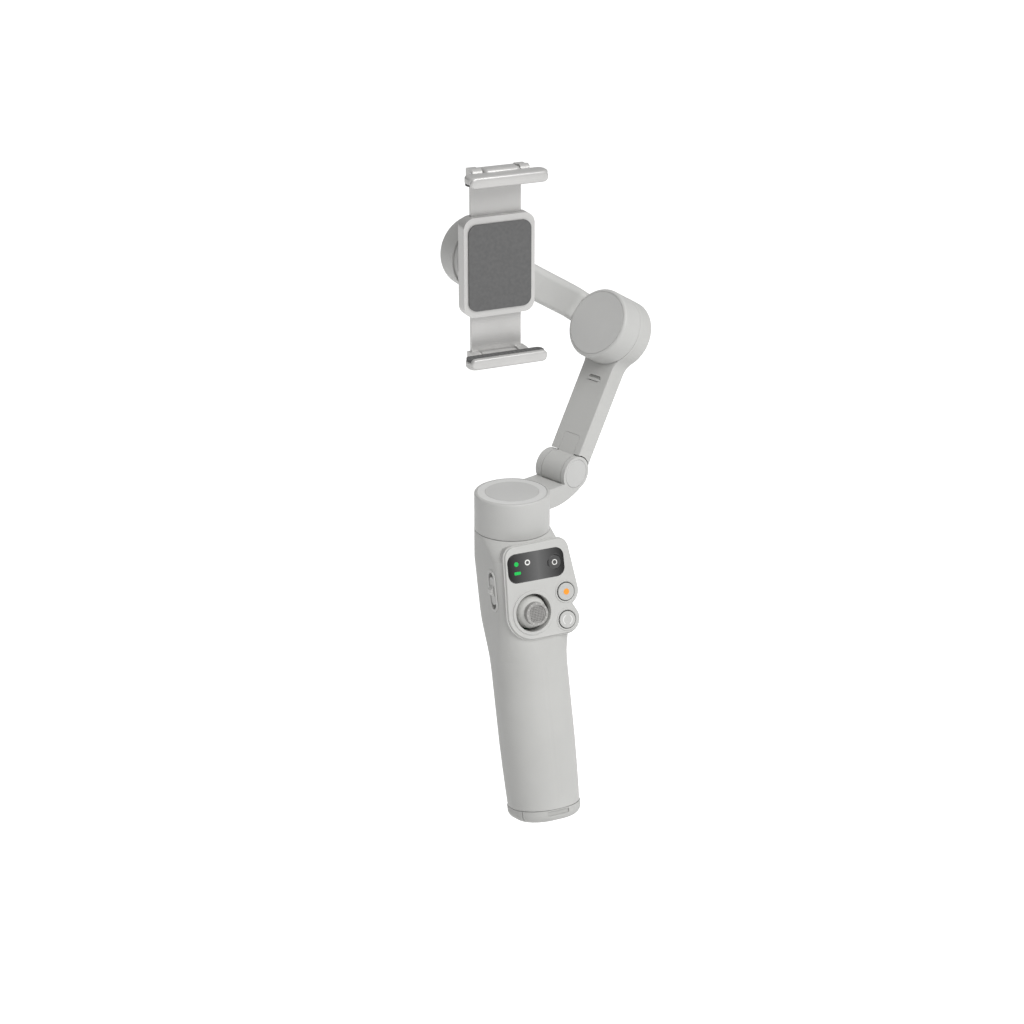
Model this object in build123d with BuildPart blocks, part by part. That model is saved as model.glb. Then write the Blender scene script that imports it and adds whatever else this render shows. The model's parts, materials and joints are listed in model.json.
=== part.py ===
from build123d import *
import math
import os

# Handheld three-axis phone gimbal, standing upright. Millimetres, +Z up.
# The origin is the mouth of the tripod socket in the underside of the grip.
# +X is the user's right, +Y points away from the user, and the pan axis is vertical.

# ---- driving dimensions: handle ----
grip_lean = 14.2            # the grip's axis leans towards the user from the pan axis
grip_length = 130.5         # underside of the feet to the neck point, along the grip
neck_below_top = 22.0       # neck point to the top of the pan motor, vertically
pan_offset = 4.3            # the pan axis stands this much behind the neck point
grip_half_width = 17.2
grip_half_depth = 17.4
head_half_width = 17.6
head_front = 18.4           # grip axis to the flat front of the head
head_back = 20.4
wall = 2.2
feet_height = 6.2           # the feet form the lowest part of the grip

# ---- driving dimensions: control panel, measured along the grip ----
plate_thick = 1.0
display_x, display_z = 0.6, 120.6
display_width, display_height, display_corner = 26.2, 12.8, 3.8
mode_x = 9.3
mode_r, record_r, switch_r = 3.2, 4.0, 3.9
record_x, record_z = 13.4, 106.3
switch_x, switch_z = 12.7, 93.4
stick_x, stick_z = -3.6, 99.4
stick_well_r, stick_trim_r = 8.6, 10.1
button_travel = 0.6

# ---- driving dimensions: motors and arms ----
pan_r, pan_height = 17.3, 17.8
arm_azimuth = 19.5          # the arm leaves the pan motor this far behind +X
hinge_reach = 32.4          # pan axis to the fold axis
hinge_rise = 2.3            # fold axis above the top of the pan motor
ear_r, ear_left, ear_right = 8.1, 3.6, 2.2
arm_lean = 30.3             # the arm leans outwards from vertical
arm_width = 18.4
arm_inner, arm_outer = 2.6, 7.0      # fold axis to the arm's two flat faces
arm_length = 68.2           # fold axis to the tilt axis
tilt_r, tilt_height = 16.5, 11.6
roll_x, roll_z = -5.4, 255.3
roll_r = 16.8
motor_gap = 0.35            # running gap between the two halves of a motor

# ---- driving dimensions: clamp ----
phone_width = 77.6          # the opening between the jaws' pads
phone_thick = 8.25
phone_back = 36.75          # world Y of the face that the phone's back lies on
jaw_length = 38.0
jaw_thick = 3.2
pad_thick = 1.2
jaw_lip = 2.2               # the jaw reaches this far past the phone's front

fit = 0.05                  # radial clearance of a pin or shaft in its bore
slide_gap = 0.3             # clearance of a sliding piece

sin_lean = math.sin(math.radians(grip_lean))
cos_lean = math.cos(math.radians(grip_lean))


def direction(azimuth, elevation):
    a, e = math.radians(azimuth), math.radians(elevation)
    return Vector(math.cos(a) * math.cos(e), math.sin(a) * math.cos(e), math.sin(e))


# ---- working planes ----
# grip: x to the user's right, y away from the user, z up along the leaning grip
grip = Plane(origin=(0, 0, 0), x_dir=(1, 0, 0), z_dir=(0, sin_lean, cos_lean))
# side: x away from the user, y up along the grip, looking along +X
side = Plane(origin=(0, 0, 0), x_dir=grip.y_dir, z_dir=(1, 0, 0))
# panel: x to the right, y up along the grip, z out of the head's flat front
panel = Plane(origin=grip.from_local_coords((0, -head_front, 0)), x_dir=(1, 0, 0),
              z_dir=-grip.y_dir)
pan_y = grip_length * sin_lean + pan_offset
pan_top = grip_length * cos_lean + neck_below_top
pan_base = pan_top - pan_height
radial = direction(arm_azimuth, 0)
# pan: on the pan axis at the seam, x along the arm
pan = Plane(origin=(0, pan_y, pan_base), x_dir=radial, z_dir=(0, 0, 1))
hinge_z = pan_height + hinge_rise
# clevis: x along the arm's radius, y up, z towards the user, on the fold axis's level
clevis = Plane(origin=pan.origin, x_dir=radial, z_dir=-pan.y_dir)
hinge_point = pan.from_local_coords((hinge_reach, 0, hinge_z))
arm_up = direction(arm_azimuth, 90 - arm_lean)
arm_out = direction(arm_azimuth, -arm_lean)
# arm: origin on the fold axis, x out of the arm's outer face, z along the arm
arm = Plane(origin=hinge_point, x_dir=arm_out, z_dir=arm_up)
# arm_face: looking at the arm's inner face, x up the arm, z towards the phone
arm_face = Plane(origin=arm.from_local_coords((-arm_inner, 0, 0)), x_dir=arm_up,
                 z_dir=-arm_out)
tilt = Plane(origin=arm.from_local_coords((-arm_inner, 0, arm_length)), x_dir=arm_up,
             z_dir=-arm_out)
# roll: on the roll axis at the phone's back, x right, y up, z towards the user
roll = Plane(origin=(roll_x, phone_back, roll_z), x_dir=(1, 0, 0), z_dir=(0, -1, 0))


def finish(piece, name):
    piece.part.label = name
    export_step(piece.part, f"parts/{name}.step")
    print(name, len(piece.part.solids()), round(piece.part.volume, 1))


def ring(plane, low, high, outer, inner=0, x=0, y=0, mode=Mode.ADD):
    """A disc, or a tube when it has an inner radius, along the plane's z."""
    with BuildSketch(plane.offset(low)) as profile:
        with Locations((x, y)):
            Circle(outer)
            if inner:
                Circle(inner, mode=Mode.SUBTRACT)
    extrude(profile.sketch, amount=high - low, mode=mode)


def bore(plane, low, high, radius, x=0, y=0):
    """Cut a round hole along the plane's z between two heights."""
    ring(plane, low, high, radius, x=x, y=y, mode=Mode.SUBTRACT)


def slab(plane, low, high, width, depth, corner, x=0, y=0, mode=Mode.ADD):
    """A plate with rounded corners between two heights over the plane."""
    with BuildSketch(plane.offset(low)) as profile:
        with Locations((x, y)):
            RectangleRounded(width, depth, corner)
    extrude(profile.sketch, amount=high - low, mode=mode)


def box(plane, low, high, width, depth, x=0, y=0, mode=Mode.ADD):
    """A plain block between two heights over the plane."""
    with BuildSketch(plane.offset(low)) as profile:
        with Locations((x, y)):
            Rectangle(width, depth)
    extrude(profile.sketch, amount=high - low, mode=mode)


def turned(plane, angle):
    """The plane turned about its own z."""
    c, s = math.cos(math.radians(angle)), math.sin(math.radians(angle))
    return Plane(origin=plane.origin, x_dir=plane.x_dir * c + plane.y_dir * s, z_dir=plane.z_dir)


def grip_section(plane, half_width, front, back, corner_front, corner_back):
    """One cross-section of the handle: flat sides with larger or smaller rounded corners."""
    a, b = corner_front, corner_back
    with BuildSketch(plane) as section:
        with BuildLine():
            Line((-half_width + a, -front), (half_width - a, -front))
            RadiusArc((half_width - a, -front), (half_width, -front + a), -a)
            Line((half_width, -front + a), (half_width, back - b))
            RadiusArc((half_width, back - b), (half_width - b, back), -b)
            Line((half_width - b, back), (-half_width + b, back))
            RadiusArc((-half_width + b, back), (-half_width, back - b), -b)
            Line((-half_width, back - b), (-half_width, -front + a))
            RadiusArc((-half_width, -front + a), (-half_width + a, -front), -a)
        make_face()
    return section.sketch


neck = Plane(origin=pan.origin, x_dir=(1, 0, 0), z_dir=(0, 0, 1))
neck_corner = pan_r - 0.2

blend_low, blend_high = 72.0, 100.0     # the grip widens into the head between these
head_high = 124.0                       # top of the head's straight part
foot_swell, swell_length = 0.9, 40.0    # the grip is drawn in towards the foot
handle_heights = (feet_height, 14, 24, 36, blend_low, 77, 82, 86, 90, 95, blend_high, head_high)


def blended(z):
    """0 in the grip, 1 in the head, with a smooth turn between."""
    t = min(max((z - blend_low) / (blend_high - blend_low), 0), 1)
    return t * t * (3 - 2 * t)


def handle_section(plane, z, inset):
    """The handle's cross-section at a height along the grip."""
    k = blended(z)
    swell = foot_swell * (1 - min((z - feet_height) / swell_length, 1)) ** 2
    width = grip_half_width + (head_half_width - grip_half_width) * k - swell - inset
    front = grip_half_depth + (head_front - grip_half_depth) * k - swell - inset
    back = grip_half_depth + (head_back - grip_half_depth) * k - swell - inset
    round_corner = grip_half_width - 1.2 - inset - swell
    front_corner = round_corner + (7.5 - inset - round_corner) * k
    back_corner = round_corner - 2 * k
    return grip_section(plane, width, front, back, front_corner, back_corner)


def handle_solid(inset):
    """The handle's outer form, or the same form drawn in by a wall."""
    r = pan_r - inset
    sections = [handle_section(grip.offset(z), z, inset) for z in handle_heights]
    sections.append(grip_section(neck, r, r, r, neck_corner - inset, neck_corner - inset))
    with BuildPart() as body:
        loft(sections, ruled=True)
    return body.part


def plate_outline(grow):
    """The control panel's outline, with two bumps round the buttons on the right."""
    for group in (
        ((-9.8, 125.6, 4.8), (11.2, 125.6, 5.4), (-9.8, 112, 4.8), (stick_x, stick_z, 12.2),
         (record_x, record_z, 6.0)),
        ((stick_x, stick_z, 12.2), (switch_x, switch_z, 6.0), (0, 112, 8)),
    ):
        with BuildSketch(mode=Mode.PRIVATE) as hull:
            for x, y, r in group:
                with Locations((x, y)):
                    Circle(r + grow)
            make_hull()
        add(hull.sketch)


os.makedirs("parts", exist_ok=True)
handle_outer = handle_solid(0)
handle_inner = handle_solid(wall)

# ---- handle: shells ----
parting = Plane(origin=(0, 0, 0), x_dir=(1, 0, 0), z_dir=grip.y_dir)
front_wall = 6.5            # the head's front is thick enough to guide the buttons
head_low = 84.0             # the thick front starts here, along the grip
trigger_z, trigger_half = 118.4, 6.0
trigger_pin_v, trigger_pin_z, trigger_pin_r = 18.2, 125.4, 1.0
zoom_v, zoom_z = -8.5, 110.4
zoom_length, zoom_width = 17.0, 5.4
# left_wall: on the flat left side of the head, x up the grip, z to the user's left
left_wall = Plane(origin=grip.from_local_coords((-head_half_width, zoom_v, zoom_z)),
                  x_dir=grip.z_dir, z_dir=(-1, 0, 0))
usb_v, usb_z = 6.0, 82.0
right_wall = Plane(origin=grip.from_local_coords((grip_half_width, usb_v, usb_z)),
                   x_dir=grip.y_dir, z_dir=(1, 0, 0))
buttons = ((mode_x, display_z, mode_r), (record_x, record_z, record_r),
           (switch_x, switch_z, switch_r))
bore_gap = 0.15             # round a button
flange = 0.6                # a button's flange is this much wider than its cap
board_screws_at = ((-9.5, 88.5), (9.8, 113.0))

motor_seat_r = pan_r - wall - 0.3      # the neck's seat for the pan motor's base
motor_seat_depth = 4.0

with BuildPart() as cavity:
    add(handle_inner)
    box(panel, -front_wall, 30, 60, 60, y=head_low + 30, mode=Mode.SUBTRACT)
    ring(pan, -motor_seat_depth, 1, motor_seat_r)

with BuildPart() as grip_front_shell:
    add(handle_outer)
    split(bisect_by=parting, keep=Keep.BOTTOM)
    with BuildSketch(panel) as pod:
        plate_outline(0.7)
    extrude(pod.sketch, amount=-9, taper=9)
    add(cavity.part, mode=Mode.SUBTRACT)
    for x, z in board_screws_at:
        ring(panel, -12.0, -front_wall + 0.5, 2.3, x=x, y=z)
        bore(panel, -12.0, -8.0, 0.9, x=x, y=z)
    bore(panel, -front_wall - 1, 1, stick_well_r, x=stick_x, y=stick_z)
    for x, z, r in buttons:
        bore(panel, -front_wall, 1, r + bore_gap, x=x, y=z)
        bore(panel, -front_wall, -2, r + flange + 0.3, x=x, y=z)
    slab(panel, -0.5, 1, display_width - 1.6, display_height - 1.6, 2.6,
         x=display_x, y=display_z, mode=Mode.SUBTRACT)
    with BuildSketch(left_wall.offset(-5)) as slot:
        SlotOverall(zoom_length, zoom_width)
    extrude(slot.sketch, amount=8, mode=Mode.SUBTRACT)
finish(grip_front_shell, "grip_front_shell")

with BuildPart() as grip_back_shell:
    add(handle_outer)
    split(bisect_by=parting, keep=Keep.TOP)
    add(cavity.part, mode=Mode.SUBTRACT)
    for x in (-1, 1):
        box(grip.offset(121.5), 0, 7.0, 2.4, 5.0, x=x * (trigger_half + 1.9), y=17.0)
    box(grip.offset(109.6), 0, 18.4, 2 * trigger_half + 1.2, 9.0, y=19.0, mode=Mode.SUBTRACT)
    with BuildSketch(side.offset(-trigger_half - 2.5)) as pin_hole:
        with Locations((trigger_pin_v, trigger_pin_z)):
            Circle(trigger_pin_r)
    extrude(pin_hole.sketch, amount=2 * trigger_half + 5, mode=Mode.SUBTRACT)
    slab(right_wall, -7, 2, 9.2, 3.5, 1.7, mode=Mode.SUBTRACT)
finish(grip_back_shell, "grip_back_shell")

with BuildPart() as control_plate:
    with BuildSketch(panel) as outline:
        plate_outline(0)
    extrude(outline.sketch, amount=plate_thick)
    fillet(control_plate.faces().sort_by(Axis(panel.origin, panel.z_dir))[-1].edges(), 0.45)
    slab(panel, 0.0, 2, display_width + 0.1, display_height + 0.1, display_corner,
         x=display_x, y=display_z, mode=Mode.SUBTRACT)
    bore(panel, 0, 2, stick_well_r, x=stick_x, y=stick_z)
    for x, z, r in buttons:
        bore(panel, 0, 2, r + bore_gap, x=x, y=z)
    ring(panel, plate_thick - 0.2, plate_thick + 0.55, stick_trim_r, stick_well_r, x=stick_x, y=stick_z)
    trim_top = control_plate.faces().sort_by(Axis(panel.origin, panel.z_dir))[-1]
    fillet(trim_top.edges(), 0.25)
finish(control_plate, "control_plate")

with BuildPart() as display_window:
    slab(panel, 0.0, plate_thick - 0.05, display_width, display_height, display_corner,
         x=display_x, y=display_z)
    bore(panel, -1, 2, mode_r + bore_gap, x=mode_x, y=display_z)
finish(display_window, "display_window")

for name, (x, z, r), rise in (("mode_button", buttons[0], 0.15),
                              ("record_button", buttons[1], 0.7),
                              ("switch_button", buttons[2], 0.7)):
    with BuildPart() as button:
        ring(panel, -3.6, plate_thick + rise, r, x=x, y=z)
        crown = button.edges().filter_by(GeomType.CIRCLE).sort_by(
            Axis(panel.origin, panel.z_dir))[-1]
        fillet(crown, 0.4)
        ring(panel, -3.6, -2.8, r + flange, x=x, y=z)
    finish(button, name)

with BuildPart() as button_switches:
    for x, z, r in buttons:
        ring(panel, -front_wall, -5.3, r - 0.4, x=x, y=z)
        ring(panel, -5.3, -4.4, 1.5, x=x, y=z)
finish(button_switches, "button_switches")

# ---- handle: joystick ----
stick_pivot = -3.6          # below the head's flat front
dome_outer, dome_inner = 7.7, 7.1
stick_pin_r, hub_r = 0.8, 2.2
ring_outer, ring_inner, ring_half = 5.0, 3.0, 1.2
post_inner, post_outer, post_half = 5.35, 6.45, 0.9
pivot_point = panel.from_local_coords((stick_x, stick_z, stick_pivot))
stick = Plane(origin=pivot_point, x_dir=panel.x_dir, z_dir=panel.z_dir)
stick_across = Plane(origin=pivot_point, x_dir=panel.y_dir, z_dir=panel.x_dir)
stick_along = Plane(origin=pivot_point, x_dir=panel.z_dir, z_dir=panel.y_dir)
base_floor = -8.4           # the joystick's base plate, below the pivot

with BuildPart() as joystick_base:
    slab(stick, base_floor, base_floor + 1.4, 16.4, 16.4, 2)
    for x in (-1, 1):
        mid = x * (post_inner + post_outer) / 2
        box(stick, base_floor + 1.4, post_half, post_outer - post_inner, 2 * post_half + 0.6, x=mid)
    bore(stick_across, -8, 8, stick_pin_r + fit)
finish(joystick_base, "joystick_base")

with BuildPart() as joystick_ring:
    ring(stick, -ring_half, ring_half, ring_outer, ring_inner)
    ring(stick_across, ring_inner + 0.6, post_outer - 0.2, stick_pin_r)
    ring(stick_across, -post_outer + 0.2, -ring_inner - 0.6, stick_pin_r)
    bore(stick_along, -ring_outer, ring_outer, stick_pin_r + fit)
finish(joystick_ring, "joystick_ring")

with BuildPart() as joystick_cap:
    with Locations(stick):
        Sphere(dome_outer)
        Sphere(dome_inner, mode=Mode.SUBTRACT)
    box(stick, -20, 0.6, 30, 30, mode=Mode.SUBTRACT)
    ring(stick, -ring_half, 7.2, hub_r - 0.5)
    ring(stick, -ring_half, ring_half, hub_r)
    ring(stick_along, -ring_outer + 0.7, ring_outer - 0.7, stick_pin_r)
    ring(stick, 6.2, 9.1, 5.3)
    bore(stick, 8.6, 9.6, 4.1)
finish(joystick_cap, "joystick_cap")

# ---- handle: zoom slider and trigger ----
with BuildPart() as zoom_bezel:
    with BuildSketch(left_wall) as rim:
        SlotOverall(zoom_length + 2.6, zoom_width + 2.6)
        SlotOverall(zoom_length, zoom_width, mode=Mode.SUBTRACT)
    extrude(rim.sketch, amount=0.5)
    fillet(zoom_bezel.faces().sort_by(Axis.X)[0].edges(), 0.2)
finish(zoom_bezel, "zoom_bezel")

zoom_travel = 1.8
with BuildPart() as zoom_slider:
    with BuildSketch(left_wall.offset(-3.6)) as body:
        SlotOverall(zoom_length - 2 * zoom_travel - 2 * slide_gap, zoom_width - 2 * slide_gap)
    extrude(body.sketch, amount=3.7)
    ridge = Plane(origin=left_wall.origin, x_dir=left_wall.x_dir, z_dir=-left_wall.y_dir)
    with BuildSketch(ridge.offset(-2.0)) as wedge:
        with BuildLine():
            Polyline((-3.2, -0.4), (-0.7, 1.7), (0.7, 1.7), (3.2, -0.4), close=True)
        make_face()
    extrude(wedge.sketch, amount=4.0)
finish(zoom_slider, "zoom_slider")

with BuildPart() as trigger:
    with BuildSketch(side.offset(-trigger_half)) as blade:
        with BuildLine():
            Line((16.9, 127.0), (19.6, 127.0))
            Spline((19.6, 127.0), (23.3, 121.0), (22.9, 115.0), (21.4, 110.6))
            Line((21.4, 110.6), (19.4, 110.9))
            Spline((19.4, 110.9), (20.3, 116.0), (19.0, 121.4), (16.9, 123.4))
            Line((16.9, 123.4), (16.9, 127.0))
        make_face()
    extrude(blade.sketch, amount=2 * trigger_half)
    with BuildSketch(side.offset(-trigger_half - 1)) as hole:
        with Locations((trigger_pin_v, trigger_pin_z)):
            Circle(trigger_pin_r + fit)
    extrude(hole.sketch, amount=2 * trigger_half + 2, mode=Mode.SUBTRACT)
finish(trigger, "trigger")

with BuildPart() as trigger_pin:
    with BuildSketch(side.offset(-trigger_half - 2.4)) as pin:
        with Locations((trigger_pin_v, trigger_pin_z)):
            Circle(trigger_pin_r)
    extrude(pin.sketch, amount=2 * trigger_half + 4.8)
finish(trigger_pin, "trigger_pin")

with BuildPart() as usb_port:
    slab(right_wall, -6.8, -0.2, 9.0, 3.3, 1.6)
    slab(right_wall, -6.2, 0, 8.4, 2.7, 1.3, mode=Mode.SUBTRACT)
    box(right_wall, -6.4, -1.2, 6.4, 0.7)
finish(usb_port, "usb_port")

# ---- handle: inside ----
post_r, insert_r, socket_r = 5.2, 4.4, 3.175
bulkhead_low, bulkhead_high = 58.0, 61.0
battery_r, battery_length, battery_v = 9.2, 63.0, 5.0

insert_length, socket_depth = 10.2, 9.0

with BuildPart() as tripod_post:
    ring(grip, 0, bulkhead_low, post_r)
    ring(grip, bulkhead_low, bulkhead_high, grip_half_width - wall - 0.5)
    bore(grip, 0, insert_length, insert_r)
finish(tripod_post, "tripod_post")

with BuildPart() as socket_insert:
    ring(grip, 0, insert_length, insert_r)
    bore(grip, 0, socket_depth, socket_r)
finish(socket_insert, "socket_insert")

with BuildPart() as battery:
    ring(grip, bulkhead_high, bulkhead_high + battery_length, battery_r, y=battery_v)
    ring(grip, bulkhead_high + battery_length, bulkhead_high + battery_length + 1.2, 3, y=battery_v)
finish(battery, "battery")

with BuildPart() as circuit_board:
    slab(panel, -13.3, -12.0, 25, 42, 1.5, x=0, y=106)
    for x, z in board_screws_at:
        bore(panel, -14, -11, 0.9, x=x, y=z)
finish(circuit_board, "circuit_board")

with BuildPart() as board_screws:
    for x, z in board_screws_at:
        ring(panel, -13.3, -8.5, 0.85, x=x, y=z)
        ring(panel, -14.0, -13.3, 1.7, x=x, y=z)
finish(board_screws, "board_screws")


# ---- motors ----
def stator(plane, low, high, radius, seat):
    """A stack of iron laminations with twelve wound teeth round a seat."""
    ring(plane, low, high, radius, seat)
    with BuildSketch(plane.offset(low)) as slots:
        with PolarLocations(radius - 1.6, 12):
            Rectangle(4.4, 1.5)
    extrude(slots.sketch, amount=high - low, mode=Mode.SUBTRACT)


shaft_r, bearing_r = 3.0, 6.0
with BuildPart() as pan_base_plate:
    ring(pan, -motor_seat_depth + 0.1, 0, motor_seat_r - 0.1)
    ring(pan, 0, 15.2, shaft_r)
finish(pan_base_plate, "pan_base_plate")

with BuildPart() as pan_stator:
    stator(pan, 2.0, 11.6, 11.6, shaft_r)
finish(pan_stator, "pan_stator")

with BuildPart() as pan_bearing:
    ring(pan, 12.4, 15.0, bearing_r, shaft_r)
finish(pan_bearing, "pan_bearing")

pan_pocket_r, pan_disc_r = 16.05, 12.3
cup_r = 15.0                # inside radius of the pan motor's cup
ear_gap = 0.3
knuckle_low, knuckle_high = -arm_width / 2 + ear_left, arm_width / 2 - ear_right
hinge_pin_r = 2.0
swing_r = ear_r + 0.5       # the arm's shell is cut back this far round the fold axis

with BuildPart() as pan_housing:
    ring(pan, motor_gap, pan_height, pan_r)
    with BuildSketch(clevis.offset(-arm_width / 2)) as bracket:
        with BuildLine():
            Line((12, pan_height - 1), (12, 7.3))
            Line((12, 7.3), (19, 7.3))
            ThreePointArc((19, 7.3), (28.6, 9.3), (35.6, 12.7))
            Line((35.6, 12.7), (hinge_reach, hinge_z))
            Line((hinge_reach, hinge_z), (25.2, pan_height - 1))
            Line((25.2, pan_height - 1), (12, pan_height - 1))
        make_face()
        with Locations((hinge_reach, hinge_z)):
            Circle(ear_r)
    extrude(bracket.sketch, amount=arm_width)
    ring(clevis, knuckle_low, knuckle_high, swing_r, x=hinge_reach, y=hinge_z, mode=Mode.SUBTRACT)
    bore(clevis, -arm_width / 2 + 1.2, arm_width / 2 - 0.8, hinge_pin_r, x=hinge_reach, y=hinge_z)
    bore(clevis, arm_width / 2 - 0.8, arm_width, 6.7, x=hinge_reach, y=hinge_z)
    rim = pan_housing.edges().filter_by(GeomType.CIRCLE).filter_by(
        lambda edge: abs(edge.radius - pan_r) < 0.01).sort_by(Axis.Z)[-1]
    fillet(rim, 0.8)
    bore(pan, motor_gap - 1, 15.4, cup_r)
    ring(pan, 12.2, 15.4, bearing_r + 1.6)
    bore(pan, 12.2, 15.2, bearing_r + fit)
    bore(pan, pan_height - 0.9, pan_height + 1, pan_pocket_r)
finish(pan_housing, "pan_housing")

with BuildPart() as pan_magnets:
    ring(pan, 2.0, 11.6, cup_r, 12.4)
finish(pan_magnets, "pan_magnets")

with BuildPart() as pan_top_ring:
    ring(pan, pan_height - 0.9, pan_height - 0.1, pan_pocket_r - 0.15, pan_disc_r + 0.1)
finish(pan_top_ring, "pan_top_ring")

with BuildPart() as pan_top_disc:
    ring(pan, pan_height - 0.9, pan_height - 0.05, pan_disc_r)
finish(pan_top_disc, "pan_top_disc")

with BuildPart() as fold_pin:
    ring(clevis, -arm_width / 2 + 1.2, arm_width / 2 - 0.8, hinge_pin_r, x=hinge_reach, y=hinge_z)
finish(fold_pin, "fold_pin")

with BuildPart() as fold_pin_cap:
    ring(clevis, arm_width / 2 - 0.8, arm_width / 2 + 0.1, 6.6, x=hinge_reach, y=hinge_z)
    fillet(fold_pin_cap.edges().sort_by(Axis(clevis.origin, clevis.z_dir))[-1], 0.3)
finish(fold_pin_cap, "fold_pin_cap")

# ---- long arm ----
arm_thick = arm_inner + arm_outer
knuckle = Plane(origin=hinge_point, x_dir=radial, z_dir=clevis.z_dir)
# in arm_face coordinates y runs away from the user, so the knuckle's middle is at -y
knuckle_mid = -(knuckle_low + knuckle_high) / 2
lid_width, lid_low, lid_high = 9.4, 2.0, 17.0
latch_at = 44.6

with BuildPart() as arm_shell:
    with BuildSketch(arm_face.offset(-arm_thick)) as outline:
        with Locations((arm_length / 2, 0)):
            Rectangle(arm_length, arm_width)
        with Locations((arm_length, 0)):
            Circle(tilt_r + 0.1)
    extrude(outline.sketch, amount=arm_thick)
    necks = arm_shell.edges().filter_by(Axis(arm_face.origin, arm_face.z_dir)).filter_by(
        lambda edge: arm_length / 2 < arm_face.to_local_coords(edge.center()).X < arm_length)
    fillet(necks, 9)
    outer_face = arm_shell.faces().sort_by(Axis(arm_face.origin, arm_face.z_dir))[0]
    fillet(outer_face.edges(), 2.0)
    inner_face = arm_shell.faces().sort_by(Axis(arm_face.origin, arm_face.z_dir))[-1]
    fillet(inner_face.edges(), 0.6)
    ring(knuckle, -20, 20, swing_r, mode=Mode.SUBTRACT)
    slab(arm_face, -6.6, 2, lid_high - lid_low + 0.2, lid_width + 0.2, 1.6,
         x=(lid_low + lid_high) / 2, y=knuckle_mid, mode=Mode.SUBTRACT)
    slab(arm_face, -1.2, 2, 2.8, 7.4, 1.1, x=latch_at, y=knuckle_mid, mode=Mode.SUBTRACT)
    slab(arm_face, -1.4, 0.5, 1.1, 7.0, 0.5, x=latch_at - 0.6, y=knuckle_mid)
    bore(arm_face, -6.6, 2, 14.4, x=arm_length)
finish(arm_shell, "arm_shell")

with BuildPart() as arm_knuckle:
    ring(knuckle, knuckle_low + ear_gap, knuckle_high - ear_gap, ear_r)
    slab(arm_face, -6.5, 0, lid_high - lid_low, lid_width, 1.5,
         x=(lid_low + lid_high) / 2, y=knuckle_mid)
    bore(knuckle, -20, 20, hinge_pin_r + fit)
finish(arm_knuckle, "arm_knuckle")

# ---- tilt motor: fixed half in the arm's head, turning half with the link ----
tilt_shaft_r, tilt_bearing_r = 2.6, 5.4
with BuildPart() as tilt_base_plate:
    ring(tilt, -6.6, -5.0, 14.3)
    ring(tilt, -5.0, 9.3, tilt_shaft_r)
finish(tilt_base_plate, "tilt_base_plate")

with BuildPart() as tilt_stator:
    stator(tilt, -4.0, 6.8, 11.2, tilt_shaft_r)
finish(tilt_stator, "tilt_stator")

with BuildPart() as tilt_bearing:
    ring(tilt, 7.2, 9.2, tilt_bearing_r, tilt_shaft_r)
finish(tilt_bearing, "tilt_bearing")

roll_low, roll_high = -27.6, -14.6      # the roll motor's housing, behind the phone
link_width, link_thick = 15.0, 7.4
link_lean = 17.0            # the link leaves the tilt motor's rim this far from level
link_plane = Plane(origin=tilt.origin,
                   x_dir=tilt.y_dir * math.cos(math.radians(link_lean))
                   + tilt.x_dir * math.sin(math.radians(link_lean)),
                   z_dir=tilt.x_dir * math.cos(math.radians(link_lean))
                   - tilt.y_dir * math.sin(math.radians(link_lean)))
roll_centre = link_plane.to_local_coords(roll.from_local_coords((0, 0, (roll_low + roll_high) / 2)))
with BuildPart() as tilt_link:
    ring(tilt, motor_gap, tilt_height, tilt_r)
    rim = tilt_link.edges().sort_by(Axis(tilt.origin, tilt.z_dir))[-1]
    fillet(rim, 1.5)
    with BuildLine(link_plane) as path:
        FilletPolyline((8, 5.7), (20.6, 5.7), (20.6, 40), (roll_centre.X, roll_centre.Y), radius=9)
    with BuildSketch(Plane(origin=path.line @ 0, x_dir=link_plane.z_dir,
                           z_dir=path.line % 0)) as section:
        RectangleRounded(link_width, link_thick, 2.6)
    sweep(section.sketch, path=path.line)
    ring(roll, roll_low, roll_high, roll_r)
    bore(tilt, motor_gap - 1, 9.6, 14.6)
    ring(tilt, 7.0, 9.7, tilt_bearing_r + 1.5)
    bore(tilt, 6.0, 9.3, tilt_bearing_r + fit)
    bore(tilt, tilt_height - 0.7, tilt_height + 1, 15.0)
    bore(roll, roll_low + 2.4, roll_high + 1, 14.9)
    bore(roll, roll_low - 1, roll_low + 0.8, 13.6)
    ring(roll, roll_low + 2.4, roll_low + 10.4, 6.9, 5.4)
finish(tilt_link, "tilt_link")

with BuildPart() as tilt_magnets:
    ring(tilt, 0.8, 7.2, 14.6, 12.2)
finish(tilt_magnets, "tilt_magnets")

with BuildPart() as tilt_cap:
    ring(tilt, tilt_height - 0.7, tilt_height + 0.05, 14.85)
finish(tilt_cap, "tilt_cap")

with BuildPart() as roll_back_cap:
    ring(roll, roll_low - 0.1, roll_low + 0.8, 13.5)
finish(roll_back_cap, "roll_back_cap")

with BuildPart() as roll_stator:
    stator(roll, roll_low + 3.4, roll_low + 10.0, 11.8, 6.9)
finish(roll_stator, "roll_stator")

with BuildPart() as roll_bearings:
    ring(roll, roll_low + 2.6, roll_low + 4.8, 5.4, 2.6)
    ring(roll, roll_low + 7.6, roll_low + 9.8, 5.4, 2.6)
finish(roll_bearings, "roll_bearings")

# ---- roll motor: turning half and its magnetic plate ----
plate_back, plate_front = -10.4, -9.3
with BuildPart() as roll_rotor:
    ring(roll, roll_high + motor_gap, plate_back, roll_r - 0.8)
    fillet(roll_rotor.edges().filter_by(GeomType.CIRCLE).sort_by(Axis.Y)[0], 0.8)
    ring(roll, roll_low + 2.6, roll_high + 1, 2.6 - fit)
finish(roll_rotor, "roll_rotor")

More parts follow.
